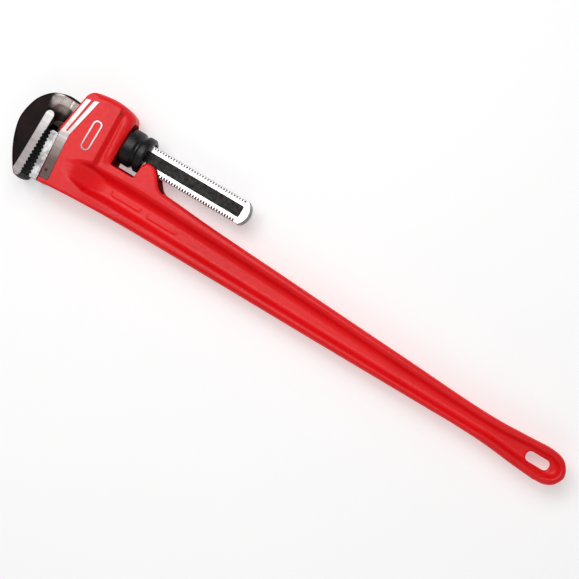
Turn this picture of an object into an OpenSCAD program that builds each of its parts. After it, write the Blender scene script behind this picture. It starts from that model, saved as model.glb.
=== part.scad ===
// Straight pipe wrench, 48 inch class, lying flat on the side of its housing.
// Plan axes while modelling: X runs along the handle with 0 at the bite line between the jaws,
// Y is 0 on the axis of the hook jaw's shank, and Z is 0 on the wrench's own middle plane.
// place() then moves everything so that the origin is under the middle of the whole tool.

/* [Wrench] */
// Distance from the bite line to the far end of the handle
handle_reach = 987; // [900:1:1050]
// Half the thickness of the housing
housing_half = 33; // [32:0.5:36]
// Height of the ground stripe and of the plain badge above the casting
stripe_rise = 0.8; // [0.4:0.1:1.2]

/* [Handle] */
// Half the thickness of the flanges beside the housing
flange_half_head = 18; // [16:0.5:22]
// Half the thickness of the flanges at the far end
flange_half_end = 14.5; // [13:0.5:18]
// Half the thickness of the web between the flanges
web_half = 4.5; // [4:0.5:8]
// Length of the hang slot
hang_length = 39; // [30:1:44]
// Width of the hang slot
hang_width = 16.5; // [12:0.5:18]

/* [Hook jaw] */
// Half the thickness of the jaw
jaw_half = 27; // [24:0.5:28]
// Half the thickness of the shank
shank_half = 13; // [12:0.25:13.2]
// Half the width of the shank over its teeth
shank_crest = 20.8; // [20:0.1:21]
// Radius of the round roots between the shank's teeth
shank_root_r = 19.9; // [19.8:0.1:20]
// Pitch of the shank's teeth and of the nut's thread
thread_pitch = 5.08; // [5.08:0.01:5.08]
// Distance from the bite line to the end of the shank
shank_reach = 352.6; // [320:0.2:360]
// Distance of the hook's teeth in front of the bite line as stored
jaw_gap = 8; // [6:0.5:12]
// Pitch of the gripping teeth
grip_pitch = 6.5; // [5:0.1:8]
// Depth of the gripping teeth
grip_depth = 2; // [1.5:0.1:2.4]

/* [Adjusting nut] */
// Outer radius of the nut
nut_r = 31.6; // [31:0.1:32]
// Length of the nut
nut_length = 42; // [41:0.1:42]
// Radius of the nut's bore at the bottom of its thread
nut_bore_r = 24.2; // [24:0.1:24.6]
// Inner radius of the nut's thread
nut_thread_r = 20.4; // [20.3:0.1:20.6]

/* [Springs and pins] */
// Radius of the heel jaw's pin
heel_pin_r = 2.2; // [2:0.1:2.5]
// Radius of the flat spring's pin
spring_pin_r = 2.5; // [2:0.1:2.5]
// Thickness of the flat spring
leaf_t = 1.6; // [1.2:0.1:1.8]
// Wire radius of the coil spring
coil_wire_r = 1.1; // [0.9:0.1:1.2]
// Mean radius of the coil spring
coil_r = 5.4; // [5:0.1:6]

/* [Hidden] */
$fn = 48;

cast_red = "#c4202a";
forged_black = "#1d1a1b";
bright_steel = "#c9c7c4";
spring_steel = "#5d6066";

pin_clearance = 0.03;
fit = 0.2;

// Cutting bodies reach this far on both sides of the middle plane, and extruded side profiles span plan_y.
through = 60;
plan_y = [-200, 150];

// Whole tool: the origin is under the middle of its box.
hook_back = -60;
head_top = 55.5;
nose_bottom = -136.5;
origin_x = (hook_back + handle_reach) / 2;
origin_y = (head_top + nose_bottom) / 2;

// Housing
passage_half_z = shank_half + 0.6;
passage_floor = -shank_crest - 0.5;
passage_roof = 27;
cavity_x = [37, 98];
cavity_roof = 45.5;
window_x = [115, 160.5];
window_floor = -41;
plateau_end = 88;
window_lug_y = -14;
fork_floor = -25;
fork_length = 120;
pocket_cut = 40;

// Handle
hang_centre = [939.8, -98.1];
hang_corner_r = 7;
handle_bottom = -116.3;

// Hook jaw
neck_end = 16;
neck_bottom_y = -34;
rack_x = [30, shank_reach - 10.5];
shank_end_r = 26.6;
shank_flat = 6;
shank_shoulder = 19.4;
tooth_root_share = 0.22;
tooth_crest_share = 0.06;
comb_r = 26;
panel_x = [75, shank_reach - 12.3];
panel_width = 20;
panel_depth = 1.6;
throat_r = 10;
grip_top = -46;
grip_bottom = -127;

// Heel jaw
heel_top = -40.5;
heel_bottom = -126.8;
heel_lean = 7.3;
heel_depth = 14;
heel_half = 28;
tenon_half = 14;
tenon_x = 38;
tenon_y = [-119, -48];
heel_pin_at = [29.4, -102.8];

// Nut
nut_centre_x = (window_x[0] + window_x[1]) / 2;
nut_start_x = nut_centre_x - nut_length / 2;
thread_turns = 7.5;
thread_steps = 24;
// The thread starts midway between two of the shank's teeth.
thread_start_x = rack_x[1] - thread_pitch * floor((rack_x[1] - nut_start_x - 1.2) / thread_pitch);

// Springs
spring_pin_at = [88, 37];
eye_r = 4;
eye_shift = [-0.66, -0.85];
leaf_width = 22;
leaf_seat_y = shank_crest + 0.3;
coil_at = [49, 29.4];
coil_turns = 4.5;
coil_length = 16.6;

// Point t (0 to 1) of the smooth curve through b and c, with a and d as its neighbours.
function spline_point(a, b, c, d, t) =
    0.5 * (2 * b + (c - a) * t + (2 * a - 5 * b + 4 * c - d) * t * t
           + (3 * b - a - 3 * c + d) * t * t * t);

// Smooth open curve through a list of points, each stretch cut into n lines.
function spline(p, n = 5) = concat(
    [for (i = [0 : len(p) - 2], k = [0 : n - 1])
        spline_point(p[max(i - 1, 0)], p[i], p[i + 1], p[min(i + 2, len(p) - 1)], k / n)],
    [p[len(p) - 1]]);

// Arc of a circle from angle a to angle b, both in degrees.
function arc(centre, r, a, b, n = 6) =
    [for (k = [0 : n]) centre + r * [cos(a + (b - a) * k / n), sin(a + (b - a) * k / n)]];

// Points along a toothed edge from p to q; the teeth point to the left of the way there.
function tooth_row(p, q, pitch, depth, root_share = 0.3, crest_share = 0.15) =
    let (way = q - p, count = floor(norm(way) / pitch), along = way / norm(way),
         left = [-along[1], along[0]], root = root_share * pitch, crest = crest_share * pitch)
    [for (i = [0 : count - 1], k = [0 : 3])
        let (s = (i + 0.5) * pitch)
        p + along * (s + [-root, -crest, crest, root][k]) + left * ((k == 1 || k == 2) ? 0 : -depth)];

module place() {
    translate([-origin_x, -origin_y, housing_half + stripe_rise]) children();
}

// Extrudes an outline to the same height on both sides of the middle plane.
module both_ways(half) {
    translate([0, 0, -half]) linear_extrude(2 * half) children();
}

// ---------------------------------------------------------------- housing and handle

head_front = [[24, -124], [22.8, -112], [15.4, -39.5], [12.4, -31], [16.6, -9.3], [24.4, 35]];
head_crown = [[24.4, 35], [30, 46], [42, 53.6], [57, head_top], [76, 54], [95, 49.5], [108, 42.5],
              [116, 33.5]];
lug_back = [[161.5, window_lug_y], [164, -9.6], [170, -7.4], [181, -8.5], [190, -15.5], [199, -27],
            [206, -34.5], [215, -38.2], [232, -39.4]];
handle_top = [[232, -39.4], [315, -45.8], [446, -53], [560, -59.4], [700, -67], [794, -72.6],
              [855, -74.3], [900, -72.6], [945, -69.9]];
handle_low = [[950, -126], [910, -122.7], [855, -117.3], [800, -115.3], [740, -115.6], [543, handle_bottom],
              [216, -116.9], [106, -119], [24, -124]];

function end_arc() = spline([[945, -69.9], [965, -72.5], [979, -81], [handle_reach, -99],
                             [979, -116.5], [965, -124.5], [950, -126]], 5);

module silhouette() {
    polygon(concat(head_front, spline(head_crown), [[116, window_floor], [window_x[1] - 1.5, window_floor]],
                   spline(lug_back), spline(handle_top), end_arc(), spline(handle_low)));
}

// Half-thickness along the wrench, seen from the side.
module side_profile() {
    upper = [[0, housing_half], [plateau_end, housing_half], [plateau_end + 10, 25.5],
             [window_x[0], 24], [window_x[1], 23.5], [250, flange_half_head],
             [handle_reach + 5, flange_half_end]];
    polygon(concat(upper, [for (i = [len(upper) - 1 : -1 : 0]) [upper[i][0], -upper[i][1]]]));
}

// Floor of the long pocket between the flanges.
module pocket() {
    top = [[92, -62], [235, -63.5], [480, -72], [700, -82.5], [855, -87.5], [925, -83], [955, -82.5]];
    low = [[955, -113.5], [915, -110], [855, -105], [794, -105], [480, -101.5], [235, -98], [92, -93]];
    tip = [[92, -93], [76, -88], [68, -77.5], [76, -67], [92, -62]];
    polygon(concat(spline(top), spline([[955, -82.5], [970, -88], [975, -98], [970, -108], [955, -113.5]]),
                   spline(low), spline(tip)));
}

module slot_outline(centre, size, r) {
    translate(centre) offset(r) square(size - [2 * r, 2 * r], center = true);
}

// The ground stripe: a broad foot beside the heel jaw that splits into two prongs above.
module stripe_outline() {
    polygon([[24.5, -117.5], [41.2, -116], [34.4, -55.2], [33.4, -34], [49.2, 36.8], [40.5, 34.4],
             [27.2, -30.9], [24.6, -30.9], [35.6, 33], [26.8, 30.6], [15.9, -37], [18.2, -58.7]]);
}

// Plain raised bar on the housing and plain raised pads on the web.
module badge_outline() {
    slot_outline([66, -17], [17, 54], 8);
}

module web_pads() {
    for (x = [165, 235]) slot_outline([x, -79.8 - (x - 165) * 0.03], [56, 9], 3);
}

module housing_handle() {
    color(cast_red)
    difference() {
        union() {
            intersection() {
                both_ways(housing_half) silhouette();
                translate([0, plan_y[1], 0]) rotate([90, 0, 0])
                    linear_extrude(plan_y[1] - plan_y[0]) side_profile();
            }
            both_ways(housing_half + stripe_rise) stripe_outline();
            both_ways(housing_half + stripe_rise) badge_outline();
        }
        for (side = [-1, 1])
            translate([0, 0, side > 0 ? web_half : -web_half - pocket_cut])
                linear_extrude(pocket_cut) difference() {
                    pocket();
                    web_pads();
                }
        for (side = [-1, 1])
            translate([0, 0, side > 0 ? web_half + stripe_rise : -web_half - stripe_rise - pocket_cut])
                linear_extrude(pocket_cut) web_pads();
        both_ways(through) slot_outline(hang_centre, [hang_length, hang_width], hang_corner_r);
        // The nut's window and the fork behind it
        both_ways(through) polygon([[window_x[0], window_floor], [window_x[1] - 1.5, window_floor],
                               [window_x[1] + 1, window_lug_y], [window_x[1], 80], [window_x[0], 80]]);
        translate([window_x[0], fork_floor, -passage_half_z]) cube([fork_length, 80, 2 * passage_half_z]);
        // The shank's passage, and the room for the springs above it
        translate([0, passage_floor, -passage_half_z])
            cube([window_x[0] + 1, passage_roof - passage_floor, 2 * passage_half_z]);
        translate([cavity_x[0], 0, -passage_half_z])
            cube([cavity_x[1] - cavity_x[0], cavity_roof, 2 * passage_half_z]);
        translate([coil_at[0], cavity_roof, 0]) rotate([90, 0, 0])
            translate([0, 0, -3.5]) cylinder(h = 10, r = coil_r + coil_wire_r + 0.6);
        // The heel jaw's mortise
        translate([0, tenon_y[0] - fit, -tenon_half - fit])
            cube([tenon_x + fit, tenon_y[1] - tenon_y[0] + 2 * fit, 2 * (tenon_half + fit)]);
        translate([heel_pin_at[0], heel_pin_at[1], -through])
            cylinder(h = 2 * through, r = heel_pin_r + pin_clearance);
        translate([spring_pin_at[0], spring_pin_at[1], -through])
            cylinder(h = 2 * through, r = spring_pin_r + pin_clearance);
    }
}

// ---------------------------------------------------------------- jaws

hook_back_curve = [[neck_end, shank_crest], [-8, 21.8], [-32, 13], [-50, -5], [-57.6, -25], [hook_back, -45],
                   [-57.6, -62], [-49.5, -85], [-38, -107.5], [-24, -128.5]];
nose = spline([[-24, -128.5], [-19.5, -134], [-14, nose_bottom], [-9.5, -134], [-jaw_gap, grip_bottom]], 4);

function grip_line() = tooth_row([-jaw_gap, grip_bottom], [-jaw_gap, grip_top], grip_pitch, grip_depth);

// The teeth point towards +X, so the row is mirrored in the line of its crests.
module hook_outline() {
    polygon(concat(spline(hook_back_curve), nose,
                   [for (p = grip_line()) [-2 * jaw_gap - p[0], p[1]]],
                   [[-jaw_gap, grip_top]],
                   arc([throat_r - jaw_gap, -shank_crest - throat_r], throat_r, 180, 90),
                   [[neck_end, -shank_crest]]));
}

// Half-thickness of the hook's neck, from the full jaw down to the shank.
module neck_profile() {
    polygon([[-80, jaw_half], [-26, jaw_half], [2, shank_half], [neck_end, shank_half],
             [neck_end, -shank_half], [2, -shank_half], [-26, -jaw_half], [-80, -jaw_half]]);
}

// Half outline of the teeth, turned about the shank's axis: a comb with a gap at each of the gaps' places.
function comb(first_gap) = concat(
    [[0, -10], [comb_r, -10]],
    [for (i = [floor((first_gap - rack_x[0]) / thread_pitch) : -1 : 0])
        let (x = first_gap - i * thread_pitch, root = (0.5 - tooth_root_share) * thread_pitch,
             crest = (0.5 - tooth_crest_share) * thread_pitch)
        each [[comb_r, x - crest], [shank_root_r, x - root], [shank_root_r, x + root], [comb_r, x + crest]]],
    [[comb_r, shank_reach + 1], [0, shank_reach + 1]]);

// One edge of the shank: the bar's half on that side inside its comb.
module shank_edge(side, first_gap) {
    intersection() {
        rotate([90, 0, 90]) translate([0, 0, -10]) linear_extrude(shank_reach + 10)
            polygon([[0, -shank_half], [side * shank_shoulder, -shank_half], [side * shank_crest, -shank_flat],
                     [side * shank_crest, shank_flat], [side * shank_shoulder, shank_half], [0, shank_half]]);
        rotate([0, 90, 0]) rotate_extrude() polygon(comb(first_gap));
        both_ways(shank_half) polygon(concat([[-10, -shank_crest], [-10, shank_crest]],
                                             arc([shank_reach - shank_end_r, 0], shank_end_r, 52, -52, 10)));
    }
}

// The lower edge has its teeth half a pitch from the upper edge's, as a single-start thread asks.
module shank() {
    shank_edge(1, rack_x[1] - thread_pitch);
    shank_edge(-1, rack_x[1] - 1.5 * thread_pitch);
}

module shank_panel() {
    slot_outline([(panel_x[0] + panel_x[1]) / 2, 0], [panel_x[1] - panel_x[0], panel_width], 2.5);
}

module hook_jaw() {
    color(forged_black) {
        difference() {
            union() {
                intersection() {
                    both_ways(jaw_half) hook_outline();
                    union() {
                        translate([0, plan_y[1], 0]) rotate([90, 0, 0])
                            linear_extrude(plan_y[1] - plan_y[0]) neck_profile();
                        translate([-80, plan_y[0], -jaw_half])
                            cube([100, neck_bottom_y - plan_y[0], 2 * jaw_half]);
                    }
                }
                shank();
            }
            for (side = [-1, 1])
                translate([0, 0, side > 0 ? shank_half - panel_depth : -shank_half - 10 + panel_depth])
                    linear_extrude(10) shank_panel();
        }
    }
}

module heel_outline() {
    teeth = tooth_row([heel_lean, heel_bottom], [0, heel_top], grip_pitch, grip_depth);
    polygon(concat([[heel_lean, heel_bottom]], teeth,
                   [[1.5, heel_top], [heel_depth, heel_top], [heel_depth + heel_lean, heel_bottom]]));
}

module heel_jaw() {
    color(bright_steel)
    difference() {
        union() {
            both_ways(heel_half) heel_outline();
            both_ways(tenon_half) polygon([[12, tenon_y[1]], [tenon_x, tenon_y[1]], [tenon_x, tenon_y[0]],
                                           [16, tenon_y[0]]]);
        }
        translate([heel_pin_at[0], heel_pin_at[1], -through])
            cylinder(h = 2 * through, r = heel_pin_r + pin_clearance);
    }
}

module heel_jaw_pin() {
    color(spring_steel)
    translate([heel_pin_at[0], heel_pin_at[1], -housing_half]) cylinder(h = 2 * housing_half, r = heel_pin_r);
}

// ---------------------------------------------------------------- nut

// One ring of the thread's section at step i; the root lies inside the nut's wall.
function thread_section(i) =
    let (turn = 360 * i / thread_steps, x = thread_pitch * i / thread_steps)
    [for (p = [[-0.85, nut_bore_r + 1], [-0.55, nut_thread_r], [0.55, nut_thread_r], [0.85, nut_bore_r + 1]])
        [x + p[0], p[1] * cos(turn), p[1] * sin(turn)]];

module nut_thread() {
    rings = thread_turns * thread_steps;
    points = [for (i = [0 : rings]) each thread_section(i)];
    sides = [for (i = [0 : rings - 1], k = [0 : 3])
        let (a = 4 * i + k, b = 4 * i + (k + 1) % 4)
        each [[a, b + 4, b], [a, a + 4, b + 4]]];
    polyhedron(points, concat([[0, 1, 2, 3]], sides,
                              [[4 * rings + 3, 4 * rings + 2, 4 * rings + 1, 4 * rings]]));
}

module adjusting_nut() {
    l = nut_length;
    color(forged_black) {
        translate([nut_start_x, 0, 0]) rotate([0, 90, 0])
            rotate_extrude()
                polygon([[nut_bore_r, 0], [nut_r - 5, 0], [nut_r - 1.6, 1], [nut_r, 4], [nut_r, 18.5],
                         [nut_r - 1, 20], [nut_r - 3.4, 22], [nut_r - 3.4, 26], [nut_r - 1, 28],
                         [nut_r, 29.5], [nut_r, l - 4], [nut_r - 1.6, l - 1], [nut_r - 5, l], [nut_bore_r, l]]);
        translate([thread_start_x, 0, 0]) nut_thread();
    }
}

// ---------------------------------------------------------------- springs and their pin

leaf_path = spline([[40, 28.6], [49, 26.6], [57, 23.6], [64, leaf_seat_y + leaf_t / 2], [72, 23.4],
                    [79, 28], [82.6, 34]], 5);

// Outline of a strip of the given thickness along a path.
function strip(path, t) =
    let (last = len(path) - 1,
         side = [for (i = [0 : last])
             let (way = path[min(i + 1, last)] - path[max(i - 1, 0)], u = way / norm(way))
             [-u[1], u[0]] * t / 2])
    concat([for (i = [0 : last]) path[i] + side[i]], [for (i = [last : -1 : 0]) path[i] - side[i]]);

module flat_spring() {
    color(spring_steel)
    difference() {
        union() {
            both_ways(leaf_width / 2) polygon(strip(leaf_path, leaf_t));
            translate(spring_pin_at + eye_shift) both_ways(leaf_width / 2) circle(eye_r + leaf_t);
        }
        translate(spring_pin_at + eye_shift) both_ways(leaf_width) circle(eye_r);
    }
}

module coil_spring() {
    sides = 8;
    steps = 16;
    rings = coil_turns * steps;
    rise = coil_length / rings;
    points = [for (i = [0 : rings], k = [0 : sides - 1])
        let (turn = 360 * i / steps, a = 360 * k / sides, r = coil_r + coil_wire_r * cos(a))
        [r * cos(turn), rise * i + coil_wire_r * sin(a), r * sin(turn)]];
    skin = [for (i = [0 : rings - 1], k = [0 : sides - 1])
        let (a = sides * i + k, b = sides * i + (k + 1) % sides)
        each [[a, b + sides, b], [a, a + sides, b + sides]]];
    color(spring_steel)
    translate([coil_at[0], coil_at[1] , 0])
        polyhedron(points, concat([[for (k = [0 : sides - 1]) k]], skin,
                                  [[for (k = [sides - 1 : -1 : 0]) sides * rings + k]]));
}

module spring_pin() {
    color(spring_steel)
    translate([spring_pin_at[0], spring_pin_at[1], -housing_half])
        cylinder(h = 2 * housing_half, r = spring_pin_r);
}

place() housing_handle();
place() hook_jaw();
place() heel_jaw();
place() heel_jaw_pin();
place() adjusting_nut();
place() flat_spring();
place() coil_spring();
place() spring_pin();
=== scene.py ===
"""Looks of a large straight pipe wrench: cast housing and handle, two jaws, adjusting nut, springs and pins.

Shapes are worked out in plan millimetres: X runs along the handle from the bite line, Y is 0 on the
axis of the hook jaw's shank, and Z is 0 on the wrench's middle plane. to_row() moves them into the row frame.
"""
import math

import bpy
import numpy as np
from mathutils import Matrix, Vector


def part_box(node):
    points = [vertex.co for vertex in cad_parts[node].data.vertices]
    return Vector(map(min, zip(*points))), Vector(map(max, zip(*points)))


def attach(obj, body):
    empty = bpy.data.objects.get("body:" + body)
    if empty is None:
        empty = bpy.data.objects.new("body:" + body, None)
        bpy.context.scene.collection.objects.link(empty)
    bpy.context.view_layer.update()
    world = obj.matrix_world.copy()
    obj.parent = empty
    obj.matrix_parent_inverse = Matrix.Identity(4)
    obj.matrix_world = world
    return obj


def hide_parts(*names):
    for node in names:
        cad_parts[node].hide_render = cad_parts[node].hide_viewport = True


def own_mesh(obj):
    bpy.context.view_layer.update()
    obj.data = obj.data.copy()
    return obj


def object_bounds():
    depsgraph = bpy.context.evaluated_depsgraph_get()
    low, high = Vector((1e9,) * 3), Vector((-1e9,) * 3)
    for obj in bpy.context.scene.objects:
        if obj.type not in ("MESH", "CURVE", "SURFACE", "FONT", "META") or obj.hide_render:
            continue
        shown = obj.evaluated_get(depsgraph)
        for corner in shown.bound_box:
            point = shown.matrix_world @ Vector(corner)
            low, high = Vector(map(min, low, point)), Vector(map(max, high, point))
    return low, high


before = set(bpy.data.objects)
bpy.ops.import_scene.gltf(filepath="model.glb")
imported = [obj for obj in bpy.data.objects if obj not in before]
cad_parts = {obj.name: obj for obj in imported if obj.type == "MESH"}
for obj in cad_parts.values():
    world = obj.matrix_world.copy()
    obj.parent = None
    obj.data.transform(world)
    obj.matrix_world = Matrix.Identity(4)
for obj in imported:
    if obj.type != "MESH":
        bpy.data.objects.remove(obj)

cad_low, cad_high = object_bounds()

# ---------------- sizes, in plan millimetres

HOUSING_HALF = 33.0
STRIPE_RISE = 0.8
WEB_HALF = 4.5
HANDLE_REACH = 987.0
NOSE_BOTTOM = -137.6
WINDOW_FRONT = 115.0
WINDOW_REAR = 160.5
WINDOW_FLOOR = -41.0
PASSAGE_HALF = 13.6
PASSAGE_FLOOR = -21.3
PASSAGE_ROOF = 27.0
RAMP = (46.0, 128.0)
HANG_CENTRE = (939.8, -98.1)
HANG_SIZE = (39.0, 16.5)
JAW_HALF = 27.0
FORGING_HALF = 25.6
SHANK_HALF = 13.0
SHANK_START = 12.0
SHANK_CREST = 20.8
SHANK_REACH = 352.6
SHANK_SHOULDER = 19.4
SHANK_END_R = 26.6
ROOT_R = 19.9
COMB_R = 26.0
RACK = (30.0, SHANK_REACH - 10.5)
PANEL = (75.0, SHANK_REACH - 12.3)
PANEL_WIDTH = 20.0
PANEL_DEPTH = 1.6
THREAD_PITCH = 5.08
GAP_ROOT = 0.28 * THREAD_PITCH
GAP_MIDDLE = 0.36 * THREAD_PITCH
GAP_CREST = 0.44 * THREAD_PITCH
BITE_X = -8.0
GRIP_TOP = -46.0
GRIP_BOTTOM = -127.0
GRIP_PITCH = 6.5
GRIP_DEPTH = 2.0
THROAT_R = 10.0
SCOOP = (1.0, -11.0, 29.5)
SCOOP_R = 21.0
NOSE_LIFT = 2.6
HEEL_TOP = -40.5
HEEL_BOTTOM = -126.8
HEEL_LEAN = 7.3
HEEL_DEPTH = 14.0
HEEL_HALF = 28.0
TENON_HALF = 14.0
HEEL_PIN = (29.4, -102.8)
HEEL_PIN_R = 2.2
NUT_START = 116.75
NUT_LENGTH = 42.0
NUT_BORE = 24.2
NUT_THREAD_R = 20.4
NUT_THREAD_CUT = 0.3
KNURL_TEETH = 72
KNURL_DEPTH = 0.45
KNURL_LEAN = 3.0
SPRING_PIN = (88.0, 37.0)
SPRING_PIN_R = 2.5
COIL_AT = (49.0, 29.4)
COIL_R = 5.4
COIL_WIRE = 1.1
COIL_TURNS = 4.5
COIL_LENGTH = 16.6
LEAF_T = 1.6
LEAF_WIDTH = 22.0
LEAF_EYE_R = 4.0

# The plain pads on the handle's web, and how deep the stripe and badge reach into the casting
PAD_RISE = 1.0
PAD_SIZE = (56, 9)
PAD_AT = (165, 235)
SUNK = 0.9

# The camera: how far it leans and rolls, half its view, and what the picture covers
CAMERA_TILT = math.radians(9.0)
CAMERA_ROLL = math.radians(30.8)
HALF_VIEW = math.radians(12.5)
PICTURE_WIDTH = 579
MM_PER_PIXEL = 1.6
PICTURE_MIDDLE = (470, -67, 0)

# The spring pin's middle fixes where the plan frame lies in the row frame.
pin_low, pin_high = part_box("spring_pin")
PLAN_SHIFT = np.array((pin_low + pin_high) / 2) * 1000 - np.array([SPRING_PIN[0], SPRING_PIN[1], 0.0])


def to_row(points):
    """Plan millimetres to metres in the row frame."""
    return (np.asarray(points, float) + PLAN_SHIFT) / 1000


# ---------------- curves

def spline(points, n=8):
    """A smooth open curve through the points, each stretch cut into n lines."""
    p = np.asarray(points, float)
    last = len(p) - 1
    out = []
    for i in range(last):
        a, b, c, d = p[max(i - 1, 0)], p[i], p[i + 1], p[min(i + 2, last)]
        for k in range(n):
            t = k / n
            out.append(0.5 * (2 * b + (c - a) * t + (2 * a - 5 * b + 4 * c - d) * t * t
                              + (3 * b - a - 3 * c + d) * t ** 3))
    out.append(p[-1])
    return [tuple(q) for q in out]


def arc(centre, r, start, end, n=8):
    """Points on a circle from angle start to angle end, in degrees."""
    angles = [math.radians(start + (end - start) * k / n) for k in range(n + 1)]
    return [(centre[0] + r * math.cos(a), centre[1] + r * math.sin(a)) for a in angles]


def tooth_row(p, q, pitch, depth, root_share=0.3, crest_share=0.15):
    """Points along a toothed edge from p to q, with crests on the line and roots to its right."""
    p, q = np.array(p, float), np.array(q, float)
    length = np.linalg.norm(q - p)
    along = (q - p) / length
    left = np.array([-along[1], along[0]])
    out = []
    for i in range(int(length // pitch)):
        middle = (i + 0.5) * pitch
        for step, low in ((-root_share, 1), (-crest_share, 0), (crest_share, 0), (root_share, 1)):
            out.append(tuple(p + along * (middle + step * pitch) - left * depth * low))
    return out


def rounded(points, r, n=5):
    """The outline with each corner turned into an arc of about radius r."""
    p = np.asarray(points, float)
    out = []
    for i in range(len(p)):
        before, here, after = p[i - 1], p[i], p[(i + 1) % len(p)]
        u = (before - here) / np.linalg.norm(before - here)
        v = (after - here) / np.linalg.norm(after - here)
        half_angle = math.acos(max(-1.0, min(1.0, float(u @ v)))) / 2
        reach = min(r / math.tan(half_angle), 0.45 * np.linalg.norm(before - here),
                    0.45 * np.linalg.norm(after - here))
        start, end = here + u * reach, here + v * reach
        for k in range(n + 1):
            t = k / n
            out.append(tuple(start * (1 - t) ** 2 + 2 * here * t * (1 - t) + end * t ** 2))
    return out


def slot_outline(centre, size, r, n=8):
    """A rectangle with round corners."""
    cx, cy = centre
    hx, hy = size[0] / 2 - r, size[1] / 2 - r
    out = []
    for sx, sy, start in ((1, 1, 0), (-1, 1, 90), (-1, -1, 180), (1, -1, 270)):
        out += arc((cx + sx * hx, cy + sy * hy), r, start, start + 90, n)
    return out


def inset(outline, d):
    """The outline, given anticlockwise, moved inwards by d."""
    p = np.asarray(outline, float)
    way = np.roll(p, -1, 0) - p
    way /= np.maximum(np.linalg.norm(way, axis=1), 1e-9)[:, None]
    side = np.stack([-way[:, 1], way[:, 0]], 1)
    before = np.roll(side, 1, 0)
    lean = np.maximum(1 + (side * before).sum(1), 0.35)
    return p + d * (side + before) / lean[:, None]


def anticlockwise(outline):
    p = np.asarray(outline, float)
    q = np.roll(p, -1, 0)
    area = (p[:, 0] * q[:, 1] - q[:, 0] * p[:, 1]).sum()
    return p if area > 0 else p[::-1]


# ---------------- meshes

def add_object(name, points, faces, body, material, smooth_angle=None):
    """A mesh piece from plan points. With smooth_angle, edges sharper than it stay sharp."""
    mesh = bpy.data.meshes.new(name)
    mesh.from_pydata(to_row(points).tolist(), [], [list(map(int, f)) for f in faces])
    mesh.polygons.foreach_set("use_smooth", [True] * len(mesh.polygons))
    if smooth_angle is not None:
        for face in mesh.polygons:
            face.use_smooth = len(face.vertices) <= 4
        mesh.set_sharp_from_angle(angle=math.radians(smooth_angle))
    mesh.materials.append(material)
    obj = bpy.data.objects.new(name, mesh)
    bpy.context.scene.collection.objects.link(obj)
    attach(obj, body)
    return obj


def edge_levels(half, r, steps=3):
    """Heights and insets of a prism of the given half thickness with its long edges rounded."""
    up = []
    for k in range(steps + 1):
        a = math.radians(90 * k / steps)
        up.append((half - r + r * math.sin(a), r - r * math.cos(a)))
    up.append((half, r + 0.3))
    down = [(-z, d) for z, d in reversed(up)]
    return down + up


def grid_faces(rows, columns, flip=False):
    """Quads over a rows by columns grid of points, the columns closing on themselves."""
    faces = []
    for i in range(rows - 1):
        for k in range(columns):
            a, b = i * columns + k, i * columns + (k + 1) % columns
            quad = (a, b, b + columns, a + columns)
            faces.append(quad[::-1] if flip else quad)
    return faces


def capped_grid(rows, columns):
    """The same quads with a face over each open end."""
    faces = grid_faces(rows, columns)
    faces.append(tuple(range(columns - 1, -1, -1)))
    faces.append(tuple(range((rows - 1) * columns, rows * columns)))
    return faces


def loft(outline, levels):
    """Points and faces of a prism through the outline at each level's height and inset."""
    outline = anticlockwise(outline)
    points = []
    for z, d in levels:
        points += [(x, y, z) for x, y in inset(outline, d)]
    return points, capped_grid(len(levels), len(outline))


def merge(parts):
    """Several (points, faces) as one."""
    points, faces = [], []
    for more, their in parts:
        n = len(points)
        points += list(more)
        faces += [tuple(v + n for v in f) for f in their]
    return points, faces


def cap_with_hole(points, numbers_o, numbers_h, flip):
    """Two faces that fill the space between an outer and an inner anticlockwise ring of point numbers."""
    places_o, places_h = [np.array([points[i][:2] for i in numbers]) for numbers in (numbers_o, numbers_h)]
    left_h, right_h = int(np.argmin(places_h[:, 0])), int(np.argmax(places_h[:, 0]))

    def nearest(at):
        return int(np.argmin(((places_o - at) ** 2).sum(1)))

    left_o, right_o = nearest(places_h[left_h]), nearest(places_h[right_h])

    def run(numbers, start, end):
        out = [numbers[start]]
        i = start
        while i != end:
            i = (i + 1) % len(numbers)
            out.append(numbers[i])
        return out

    # Anticlockwise from the right point to the left one is the upper half.
    upper = run(numbers_o, right_o, left_o) + run(numbers_h, right_h, left_h)[::-1]
    lower = run(numbers_o, left_o, right_o) + run(numbers_h, left_h, right_h)[::-1]
    return [tuple(f[::-1]) if flip else tuple(f) for f in (upper, lower)]


def plate_with_hole(outline, hole, z_low, z_high, r):
    """A plate with a through hole and a rounded upper edge, from z_low up to z_high."""
    outline, hole = anticlockwise(outline), anticlockwise(hole)
    n, m = len(outline), len(hole)
    rings = [(z_low, 0.0), (z_high - r, 0.0), (z_high - 0.3 * r, 0.3 * r), (z_high, r), (z_high, r + 0.4)]
    points, faces = [], []
    for z, d in rings:
        points += [(x, y, z) for x, y in inset(outline, d)]
    start = len(points)
    for z, d in rings:
        points += [(x, y, z) for x, y in inset(hole, -d)]
    for i in range(len(rings) - 1):
        for k in range(n):
            a, b = i * n + k, i * n + (k + 1) % n
            faces.append((a, b, b + n, a + n))
        for k in range(m):
            a, b = start + i * m + k, start + i * m + (k + 1) % m
            faces.append((b, a, a + m, b + m))
    top = len(rings) - 1
    for level, flip in ((0, True), (top, False)):
        numbers_o = list(range(level * n, level * n + n))
        numbers_h = list(range(start + level * m, start + level * m + m))
        faces += cap_with_hole(points, numbers_o, numbers_h, flip)
    return points, faces


def mirrored(parts):
    """The points and faces mirrored in the middle plane."""
    points, faces = parts
    return [(x, y, -z) for x, y, z in points], [tuple(reversed(f)) for f in faces]


# ---------------- signed distances on a grid

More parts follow.
